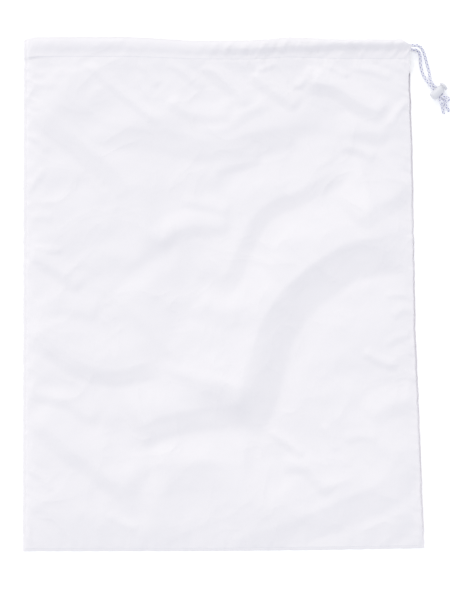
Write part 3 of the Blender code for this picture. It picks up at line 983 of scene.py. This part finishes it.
def crinkles(spacing):
    """A coarse panel that grows a little between its seams and buckles: its shares, rows and moves."""
    shares = np.linspace(0, 1, round(2 * BACK_HIGH.x / spacing))
    rows = np.linspace(BOTTOM, CASING_LINE, round((CASING_LINE - BOTTOM) / spacing))
    share_grid, ys = np.meshgrid(shares, rows)
    left, right = along(LEFT_EDGE, ys), along(RIGHT_EDGE, ys)
    xs = left + (right - left) * share_grid
    zs = cloth_height(xs, ys)
    panel = grid_object("crinkling_panel", xs, ys, zs, nylon())
    edge = np.minimum(np.minimum(share_grid, 1 - share_grid) * 2 * BACK_HIGH.x, ys - BOTTOM)
    held = panel.vertex_groups.new(name="held")
    firm = ((edge < 3 * MM) | (ys > CASING_LINE - 2 * MM)).reshape(-1)
    held.add([int(i) for i in np.flatnonzero(firm)], 1.0, "REPLACE")
    held.add([int(i) for i in np.flatnonzero(~firm)], CRINKLE_HOLD, "REPLACE")
    cloth = panel.modifiers.new("Cloth", "CLOTH")
    settings = cloth.settings
    settings.quality = 5
    settings.mass = 0.1
    settings.tension_stiffness = 15
    settings.compression_stiffness = 15
    settings.shear_stiffness = 10
    settings.bending_stiffness = CRINKLE_BENDING
    settings.air_damping = 2
    settings.vertex_group_mass = "held"
    settings.shrink_min = -CRINKLE_GROWTH
    settings.effector_weights.gravity = 0.0
    cloth.point_cache.frame_start = 1
    cloth.point_cache.frame_end = CRINKLE_FRAMES
    for step in range(1, CRINKLE_FRAMES + 1):
        bpy.context.scene.frame_set(step)
    apply_modifiers(panel)
    bpy.context.scene.frame_set(1)
    after = np.empty(len(panel.data.vertices) * 3)
    panel.data.vertices.foreach_get("co", after)
    bpy.data.objects.remove(panel)
    before = np.stack([xs, ys, zs], axis=-1)
    return shares, rows, after.reshape(before.shape) - before


def spread(shares, rows, moves, fine_shares, fine_rows):
    """The coarse panel's moves on the fine grid, smoothed so that no coarse edge shows."""
    across = np.stack(
        [[np.interp(fine_shares, shares, row[:, i]) for row in moves] for i in range(3)], axis=-1
    )
    both = np.empty((len(fine_rows), len(fine_shares), 3))
    for column in range(len(fine_shares)):
        for i in range(3):
            both[:, column, i] = np.interp(fine_rows, rows, across[:, column, i])
    for _ in range(2):
        both[1:-1] = (both[:-2] + 2 * both[1:-1] + both[2:]) / 4
        both[:, 1:-1] = (both[:, :-2] + 2 * both[:, 1:-1] + both[:, 2:]) / 4
    return both


def surface_finder(obj):
    """A function that gives the height of an object's upper surface at a place."""
    tree = BVHTree.FromPolygons(
        [v.co.copy() for v in obj.data.vertices], [tuple(p.vertices) for p in obj.data.polygons]
    )

    def height(x, y, otherwise):
        hit = tree.ray_cast(Vector((x, y, 0.1)), Vector((0.0, 0.0, -1.0)))
        return hit[0].z if hit[0] else otherwise

    return height


# ---------------------------------------------------------------- stitching


def stitch_mesh(length, width, height):
    """One stitch lying along X: a low rounded bar with softened edges."""
    bpy.ops.mesh.primitive_cylinder_add(vertices=8, radius=0.5, depth=1.0)
    stitch = bpy.context.active_object
    only(stitch)
    bpy.ops.transform.resize(value=(height, width, length))
    bpy.ops.transform.rotate(value=math.pi / 2, orient_axis="Y", center_override=(0.0, 0.0, 0.0))
    bpy.ops.object.transform_apply(location=False, rotation=True, scale=True)
    bpy.ops.object.mode_set(mode="EDIT")
    bpy.ops.mesh.select_all(action="SELECT")
    bpy.ops.mesh.bevel(offset=0.06 * MM, segments=1, affect="EDGES", clamp_overlap=True)
    bpy.ops.object.mode_set(mode="OBJECT")
    mesh = stitch.data.copy()
    bpy.data.objects.remove(stitch)
    points = np.array([v.co[:] for v in mesh.vertices])
    faces = [tuple(p.vertices) for p in mesh.polygons]
    bpy.data.meshes.remove(mesh)
    return points, faces


def stitch_row(name, path, pitch, width=0.5 * MM, height=0.42 * MM):
    """A row of separate stitches along a path, each turned along it and a little uneven."""
    line, _ = evenly(path, pitch)
    points, faces = stitch_mesh(pitch * 0.80, width, height)
    draw = random.Random(len(line))
    all_points, all_faces = [], []
    for a, b in zip(line, line[1:]):
        way = Vector(b - a).normalized()
        side = Vector((0.0, 0.0, 1.0)).cross(way).normalized()
        up = way.cross(side)
        middle = Vector((a + b) / 2) + side * draw.uniform(-0.06, 0.06) * MM
        turn = Matrix((way, side, up)).transposed()
        start = len(all_points)
        all_points += [middle + turn @ Vector(p) for p in points]
        all_faces += [tuple(start + i for i in face) for face in faces]
    return mesh_object(name, all_points, all_faces, thread())


def overlock_row(name, path, width, pitch=2.6 * MM):
    """Overlock thread: loops that zigzag over a raw edge."""
    line, _ = evenly(path, pitch / 2)
    side, _ = carried_frames(line)
    zigzag = [
        tuple(p + s * width * (0.5 if i % 2 else -0.5)) for i, (p, s) in enumerate(zip(line, side))
    ]
    row = wire_mesh(name, zigzag, 0.16 * MM, 1)
    row.data.materials.append(thread())
    return row


# ---------------------------------------------------------------- operators


# The camera looks straight down on the bag and its cord; VIEW_HEIGHT is what it sees, top to bottom
VIEW_HEIGHT = 0.8195
VIEW_CENTRE = (0.017, 0.0, 0.006)
KEY_COLOUR = (1.0, 0.95, 0.82)
SKY_COLOUR = (0.927, 0.9515, 1.0, 1.0)
SKY_STRENGTH = 0.9145


class LAUNDRYBAG_OT_stage(bpy.types.Operator):
    """Make the pale floor, the soft light and the camera above the bag"""

    bl_idname = "laundrybag.stage"
    bl_label = "Stage"

    def execute(self, context):
        scene = context.scene
        bpy.ops.mesh.primitive_plane_add(size=14.0, location=(0.0, 0.0, -0.2 * MM))
        floor = context.active_object
        floor.name = "floor"
        floor.data.materials.append(material_named("matt_white_table", floor_material))

        camera_data = bpy.data.cameras.new("camera")
        camera_data.lens = 100.0
        camera_data.sensor_width = 36.0
        camera_data.clip_end = 50.0
        camera = bpy.data.objects.new("camera", camera_data)
        scene.collection.objects.link(camera)
        distance = camera_data.lens * VIEW_HEIGHT / camera_data.sensor_width
        x, y, z = VIEW_CENTRE
        camera.location = (x, y, distance + z)
        scene.camera = camera

        self.add_sun("key", 0.74, 45.0, elevation=36.0, azimuth=114.0)
        world = bpy.data.worlds.new("soft_studio")
        world.use_nodes = True
        background = world.node_tree.nodes["Background"]
        background.inputs["Color"].default_value = SKY_COLOUR
        background.inputs["Strength"].default_value = SKY_STRENGTH
        scene.world = world
        scene.view_settings.view_transform = "Standard"
        return {"FINISHED"}

    def add_sun(self, name, strength, spread, elevation, azimuth):
        """A soft distant light; azimuth is measured from +X towards +Y."""
        data = bpy.data.lights.new(name, "SUN")
        data.energy = strength
        data.color = KEY_COLOUR
        data.angle = math.radians(spread)
        light = bpy.data.objects.new(name, data)
        bpy.context.scene.collection.objects.link(light)
        e, a = math.radians(elevation), math.radians(azimuth)
        toward = Vector((math.cos(e) * math.cos(a), math.cos(e) * math.sin(a), math.sin(e)))
        light.rotation_euler = toward.to_track_quat("Z", "Y").to_euler()


def through_lock(offset, distance):
    """A point on a strand's straight stretch through the lock, before the lock's axis by distance."""
    return LOCK_CENTRE + LOCK_AXIS * offset - CORD_WAY * distance


class LAUNDRYBAG_OT_drawcord(bpy.types.Operator):
    """Make the braided drawcord, its knot and its tails"""

    bl_idname = "laundrybag.drawcord"
    bl_label = "Drawcord"

    def execute(self, context):
        diameter = sizes().cord
        knot = self.make_knot(diameter)
        routes = (("outer_cord_strand", OUTER_ROUTE), ("inner_cord_strand", INNER_ROUTE))
        for (node, route), offset in zip(routes, STRAND_OFFSETS):
            straight = [tuple(through_lock(offset, d)) for d in STRAIGHT_DISTANCES]
            straight.append(tuple(through_lock(0.4 * offset - 1.8 * MM, INTO_KNOT)))
            strand, line = braided_cord(
                "braided_" + node, [*route, *straight], diameter, rounded_ends=False, squeezed=34 * MM
            )
            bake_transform(strand)
            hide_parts(node)
        tails = self.make_tails(diameter)
        self.make_run(diameter)
        return {"FINISHED"}

    def make_knot(self, diameter):
        """Both cord ends tied together in one overhand knot."""
        centre = through_lock(-0.0030, -0.0137)
        ts = np.linspace(0.20, math.tau - 0.20, 110)
        across = np.sin(ts) + 2 * np.sin(2 * ts)
        down = np.cos(ts) - 2 * np.cos(2 * ts)
        deep = -np.sin(3 * ts)
        parts = []
        for shift, size in ((-0.42, 1.02), (0.42, 0.72)):
            local = np.stack(
                [
                    across * 2.4 * MM * size,
                    down * 2.1 * MM * size + 0.2 * MM,
                    deep * 2.2 * MM + shift * diameter * 0.7,
                ],
                axis=1,
            )
            turn = np.array([tuple(LOCK_AXIS), tuple(CORD_WAY), (0.0, 0.0, 1.0)])
            line = local @ turn + np.array(centre)
            line[:, 2] = np.clip(line[:, 2], 2.1 * MM, None)
            part, _ = braided_cord("knot_part", [tuple(p) for p in line], diameter, sides=20)
            parts.append(part)
        knot = parts[0]
        only(knot)
        parts[1].select_set(True)
        bpy.ops.object.join()
        knot = context_object("braided_cord_knot")
        settle(knot, "cord_end", "cord_knot")
        return knot

    def make_tails(self, diameter):
        tails = []
        for node, route in TAIL_ROUTES.items():
            tail, _ = braided_cord("braided_" + node, route, diameter)
            settle(tail, "cord_end", node)
            tails.append(tail)
        return tails

    def make_run(self, diameter):
        """The cord's run inside both casings, in one loop round the mouth."""
        right, left = RUN_RIGHT, -0.245
        front_y, back_y = OUTER_ROUTE[0][1], INNER_ROUTE[0][1]
        front_z, back_z = OUTER_ROUTE[0][2], INNER_ROUTE[0][2]
        middle, bend = (front_z + back_z) / 2, (front_z - back_z) / 2
        route = [(x, front_y, front_z) for x in np.linspace(right, left, 20)]
        for step in range(1, 8):
            angle = math.pi * step / 8
            y = front_y + (back_y - front_y) * step / 8
            route.append((left - bend * math.sin(angle), y, middle + bend * math.cos(angle)))
        route += [(x, back_y, back_z) for x in np.linspace(left, right, 20)]
        run, _ = braided_cord("braided_drawcord_run", route, diameter, False, ring_mm=0.75, sides=16)
        settle(run, "bag", "drawcord_run")


def lock_matrix():
    """Local Z along the lock's axis from the closed end, local X along the cord."""
    across = LOCK_AXIS.cross(CORD_WAY)
    start = LOCK_CENTRE - LOCK_AXIS * (LOCK_LENGTH / 2)
    columns = (CORD_WAY, across, LOCK_AXIS)
    turn = Matrix([[column[i] for column in columns] for i in range(3)]).to_4x4()
    return Matrix.Translation(start) @ turn


def lathe(name, profile, steps=64):
    """A closed solid spun about Z from (radius, height) points in millimetres, made in edit mode."""
    bpy.ops.mesh.primitive_plane_add(size=1.0)
    obj = context_object(name)
    only(obj)
    bpy.ops.object.mode_set(mode="EDIT")
    bpy.ops.mesh.select_all(action="SELECT")
    bpy.ops.mesh.delete(type="VERT")
    bpy.ops.object.mode_set(mode="OBJECT")
    obj.data.clear_geometry()
    points = [(radius * MM, 0.0, height * MM) for radius, height in profile]
    obj.data.from_pydata(points, [(i, i + 1) for i in range(len(points) - 1)], [])
    bpy.ops.object.mode_set(mode="EDIT")
    bpy.ops.mesh.select_all(action="SELECT")
    bpy.ops.mesh.spin(steps=steps, angle=math.tau, center=(0.0, 0.0, 0.0), axis=(0.0, 0.0, 1.0))
    bpy.ops.mesh.select_all(action="SELECT")
    bpy.ops.mesh.remove_doubles(threshold=0.002 * MM)
    bpy.ops.mesh.normals_make_consistent(inside=False)
    bpy.ops.object.mode_set(mode="OBJECT")
    face_outwards(obj)
    return obj


SLOT_WIDTH = 4.4 * MM


def cut_slot(obj, low, high):
    """Cuts the oblong cord slot between two heights in millimetres, softens the piece's edges and
    puts it in its place.
    """
    bpy.ops.mesh.primitive_cube_add(size=1.0, location=(0.0, 0.0, (low + high) / 2 * MM))
    cutter = context_object("slot_cutter")
    only(cutter)
    bpy.ops.transform.resize(value=(30 * MM, SLOT_WIDTH, (high - low) * MM))
    bpy.ops.object.transform_apply(location=True, rotation=True, scale=True)
    shape = bmesh.new()
    shape.from_mesh(cutter.data)
    rims = [e for e in shape.edges if abs(e.verts[0].co.x - e.verts[1].co.x) > 10 * MM]
    bmesh.ops.bevel(shape, geom=rims, offset=1.2 * MM, segments=6, affect="EDGES", profile=0.5)
    shape.to_mesh(cutter.data)
    shape.free()
    cut = obj.modifiers.new("Cord slot", "BOOLEAN")
    cut.operation = "DIFFERENCE"
    cut.object = cutter
    apply_modifiers(obj)
    bpy.data.objects.remove(cutter)
    edge = obj.modifiers.new("Soft edges", "BEVEL")
    edge.width = 0.18 * MM
    edge.segments = 3
    edge.limit_method = "ANGLE"
    edge.angle_limit = math.radians(40)
    apply_modifiers(obj)
    bpy.ops.object.shade_smooth_by_angle(angle=math.radians(35))
    obj.data.transform(lock_matrix())
    obj.data.materials.append(plastic())


class LAUNDRYBAG_OT_cord_lock(bpy.types.Operator):
    """Make the cord lock's barrel, plunger and spring"""

    bl_idname = "laundrybag.cord_lock"
    bl_label = "Cord Lock"

    def execute(self, context):
        slot_low, slot_high, travel = 7.55, 15.65, 2.8
        barrel = lathe(
            "moulded_lock_barrel",
            [
                (0.0, 0.25), (3.2, 0.25), (3.5, 0.0), (5.05, 0.0), (5.65, 0.5), (6.1, 1.7),
                (6.25, 2.6), (6.25, 16.3), (6.12, 16.7), (6.25, 17.1), (6.2, 17.6), (5.9, 17.8),
                (5.0, 17.8), (4.7, 17.5), (4.7, 1.4), (0.0, 1.4),
            ],
        )
        cut_slot(barrel, slot_low, slot_high)
        settle(barrel, "lock_barrel", "lock_barrel")
        plunger = lathe(
            "moulded_lock_plunger",
            [
                (0.0, 6.4), (4.1, 6.4), (4.4, 6.7), (4.4, 20.7), (4.6, 20.9), (6.0, 20.9), (6.4, 21.2),
                (6.5, 21.7), (6.5, 23.1), (6.2, 23.8), (5.5, 24.2), (3.0, 24.3), (2.6, 24.1), (0.0, 24.1),
            ],
        )
        cut_slot(plunger, slot_low, slot_high + travel)
        settle(plunger, "lock_plunger", "lock_plunger")
        self.make_spring()
        return {"FINISHED"}

    def make_spring(self):
        """Three working turns, wound closer together at both ends."""
        steps, turns, radius, low, high, wire = 160, 4.4, 3.2, 1.95, 5.8, 0.25
        coil = []
        for i in range(steps + 1):
            share = i / steps
            eased = np.interp(share, (0.0, 0.18, 0.82, 1.0), (0.0, 0.12, 0.88, 1.0))
            angle = math.tau * turns * share
            x, y, z = radius * math.cos(angle), radius * math.sin(angle), low + (high - low) * eased
            coil.append((x * MM, y * MM, z * MM))
        spring = wire_mesh("coiled_lock_spring", coil, wire * MM, 3)
        spring.data.transform(lock_matrix())
        spring.data.materials.append(spring_steel())
        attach(spring, "lock_barrel")
        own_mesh(spring)
        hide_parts("lock_spring")


class LAUNDRYBAG_OT_cloth(bpy.types.Operator):
    """Make the front and back panels, with the casing and its gathers"""

    bl_idname = "laundrybag.cloth"
    bl_label = "Cloth"

    def execute(self, context):
        self.make_front()
        self.make_back()
        self.make_hems()
        return {"FINISHED"}

    def make_front(self):
        xs, ys = panel_grid()
        zs = cloth_height(xs, ys)
        moves = spread(*crinkles(7.5 * MM), panel_columns(), panel_rows())
        moves[ys > CASING_LINE] = 0.0
        xs, ys = xs + moves[..., 0], ys + moves[..., 1]
        zs = np.maximum(zs + moves[..., 2], np.minimum(zs, 2 * MM))
        panel = grid_object("nylon_front_panel", *strayed(xs, ys), zs, nylon())
        thicken(panel, sizes().cloth)
        settle(panel, "bag", "front_panel")

    def make_back(self):
        shares, ys = np.meshgrid(np.linspace(0, 1, 90), np.linspace(BOTTOM, TOP, 110))
        left, right = along(LEFT_EDGE, ys), along(RIGHT_EDGE, ys)
        inset = 0.4 * MM
        xs = left + inset + (right - left - 2 * inset) * shares
        inside = np.clip(np.minimum(np.minimum(xs - left, right - xs), ys - BOTTOM) / (25 * MM), 0, 1)
        waves = 0.22 * MM * (smooth_noise(xs, ys, 61, 0.09) + smooth_noise(xs, ys, 63, 0.04)) * inside
        zs = np.clip(0.30 * MM + waves, 0.14 * MM, 0.55 * MM)
        panel = grid_object("nylon_back_panel", *strayed(xs, ys), zs, nylon())
        thicken(panel, 0.2 * MM)
        settle(panel, "bag", "back_panel")

    def make_hems(self):
        """The inner layer of each casing: the front one nearly flat, the back one over its cord."""
        for node, low, high, lift in (
            ("front_casing_hem", FRONT_HEM_LOW, FRONT_HEM_HIGH, 0.0),
            ("back_casing_hem", BACK_HEM_LOW, BACK_HEM_HIGH, 3.9 * MM),
        ):
            xs, ys = np.meshgrid(np.linspace(low.x, high.x, 220), np.linspace(low.y, high.y, 16))
            share = (ys - low.y) / (high.y - low.y)
            arch = lift * np.sin(np.pi * share) ** 0.6
            ripple = 0.35 * MM * (pucker(xs, 71, 19 * MM) - 0.5) * np.sin(np.pi * share)
            base = low.z + 0.3 * MM
            hem = grid_object("nylon_" + node, *strayed(xs, ys - 1 * MM), base + arch + ripple, nylon())
            thicken(hem, 0.2 * MM)
            settle(hem, "bag", node)


class LAUNDRYBAG_OT_sewing(bpy.types.Operator):
    """Make the seam allowances, the rows of stitches and the overlocked edges"""

    bl_idname = "laundrybag.sewing"
    bl_label = "Sewing"

    def execute(self, context):
        height = surface_finder(bpy.data.objects["nylon_front_panel"])
        pitch = sizes().stitch
        over = -0.02 * MM
        casing = []
        for x in np.arange(-0.272, 0.2525, 1.5 * MM):
            x, y = strayed(x, CASING_LINE)
            casing.append((x, y, height(x, y, 5 * MM) + over))
        self.finish_row("front_casing_stitching", casing, pitch)
        bottom = []
        for x in np.arange(BACK_LOW.x + 3 * MM, BACK_HIGH.x - 3 * MM, 1.5 * MM):
            x, y = strayed(x, BOTTOM + 4 * MM)
            bottom.append((x, y, height(x, y, 2 * MM) + over))
        self.finish_row("bottom_topstitching", bottom, pitch)
        low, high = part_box("back_casing_stitching")
        back = [(x, (low.y + high.y) / 2, 1.15 * MM) for x in (low.x, high.x)]
        self.finish_row("back_casing_stitching", back, pitch)
        self.make_tack()
        for side, edge in (("left", LEFT_EDGE), ("right", RIGHT_EDGE)):
            self.make_side(side, edge, pitch)
        self.make_bottom_allowance()
        return {"FINISHED"}

    def finish_row(self, node, path, pitch):
        row = stitch_row("sewn_" + node, path, pitch)
        settle(row, "bag", node)

    def make_tack(self):
        """A dense bar of short stitches that ends the seam below the cord's exit."""
        low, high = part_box("exit_bar_tack")
        path = [(low.x, (low.y + high.y) / 2, 1.3 * MM), (high.x, (low.y + high.y) / 2, 1.3 * MM)]
        tack = stitch_row("sewn_exit_bar_tack", path, 0.6 * MM, width=1.2 * MM, height=0.5 * MM)
        settle(tack, "bag", "exit_bar_tack")

    def side_path(self, edge, inset, z):
        inward = 1 if edge is LEFT_EDGE else -1
        ys = np.linspace(BOTTOM + 18 * MM, CASING_LINE - 6 * MM, 120)
        xs = along(edge, ys) + inward * inset
        return list(zip(*strayed(xs, ys), np.full(len(ys), z)))

    def make_side(self, side, edge, pitch):
        inward = 1 if edge is LEFT_EDGE else -1
        low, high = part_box(side + "_seam_allowance")
        ys, shares = np.meshgrid(np.linspace(low.y, high.y, 240), np.linspace(0, 1, 6), indexing="ij")
        xs = along(edge, ys) + inward * (4 + 9 * shares) * MM
        zs = 1.0 * MM + 0.12 * MM * (pucker(ys, 81, 15 * MM) - 0.5) * shares
        allowance = grid_object("nylon_" + side + "_seam_allowance", *strayed(xs, ys), zs, nylon())
        thicken(allowance, 0.3 * MM)
        settle(allowance, "bag", side + "_seam_allowance")
        self.finish_row(side + "_seam_stitching", self.side_path(edge, 5.4 * MM, 1.4 * MM), pitch)
        overlock = overlock_row(
            "sewn_" + side + "_overlock_thread", self.side_path(edge, 12.4 * MM, 1.35 * MM), 3.0 * MM
        )
        settle(overlock, "bag", side + "_overlock_thread")

    def make_bottom_allowance(self):
        low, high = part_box("bottom_seam_allowance")
        xs, ys = np.meshgrid(np.linspace(low.x, high.x, 200), np.linspace(low.y, high.y, 6))
        zs = 1.0 * MM + 0.12 * MM * (pucker(xs, 83, 15 * MM) - 0.5) * (ys - low.y) / (high.y - low.y)
        allowance = grid_object("nylon_bottom_seam_allowance", *strayed(xs, ys), zs, nylon())
        thicken(allowance, 0.3 * MM)
        settle(allowance, "bag", "bottom_seam_allowance")
        xs = np.linspace(low.x, high.x, 100)
        path = list(zip(*strayed(xs, np.full(100, high.y - 0.6 * MM)), np.full(100, 1.35 * MM)))
        overlock = overlock_row("sewn_bottom_overlock_thread", path, 3.0 * MM)
        settle(overlock, "bag", "bottom_overlock_thread")


class LAUNDRYBAG_PT_panel(bpy.types.Panel):
    """Lists the laundry bag's sizes, colours and pieces"""

    bl_label = "Laundry Bag"
    bl_idname = "LAUNDRYBAG_PT_panel"
    bl_space_type = "VIEW_3D"
    bl_region_type = "UI"
    bl_category = "Laundry Bag"

    def draw(self, context):
        layout = self.layout
        for group in (context.scene.laundry_bag_sizes, context.scene.laundry_bag_colours):
            box = layout.box()
            for name in group.__annotations__:
                box.prop(group, name)
        for operator in OPERATORS:
            layout.operator(operator.bl_idname)


OPERATORS = (
    LAUNDRYBAG_OT_stage,
    LAUNDRYBAG_OT_drawcord,
    LAUNDRYBAG_OT_cord_lock,
    LAUNDRYBAG_OT_cloth,
    LAUNDRYBAG_OT_sewing,
)
CLASSES = (BagSizes, BagColours, *OPERATORS, LAUNDRYBAG_PT_panel)


def register():
    for cls in CLASSES:
        bpy.utils.register_class(cls)
    bpy.types.Scene.laundry_bag_sizes = bpy.props.PointerProperty(type=BagSizes)
    bpy.types.Scene.laundry_bag_colours = bpy.props.PointerProperty(type=BagColours)


def unregister():
    del bpy.types.Scene.laundry_bag_colours
    del bpy.types.Scene.laundry_bag_sizes
    for cls in reversed(CLASSES):
        bpy.utils.unregister_class(cls)


def main():
    register()
    bpy.ops.laundrybag.stage()
    bpy.ops.laundrybag.drawcord()
    bpy.ops.laundrybag.cord_lock()
    bpy.ops.laundrybag.cloth()
    bpy.ops.laundrybag.sewing()


if __name__ == "__main__":
    main()
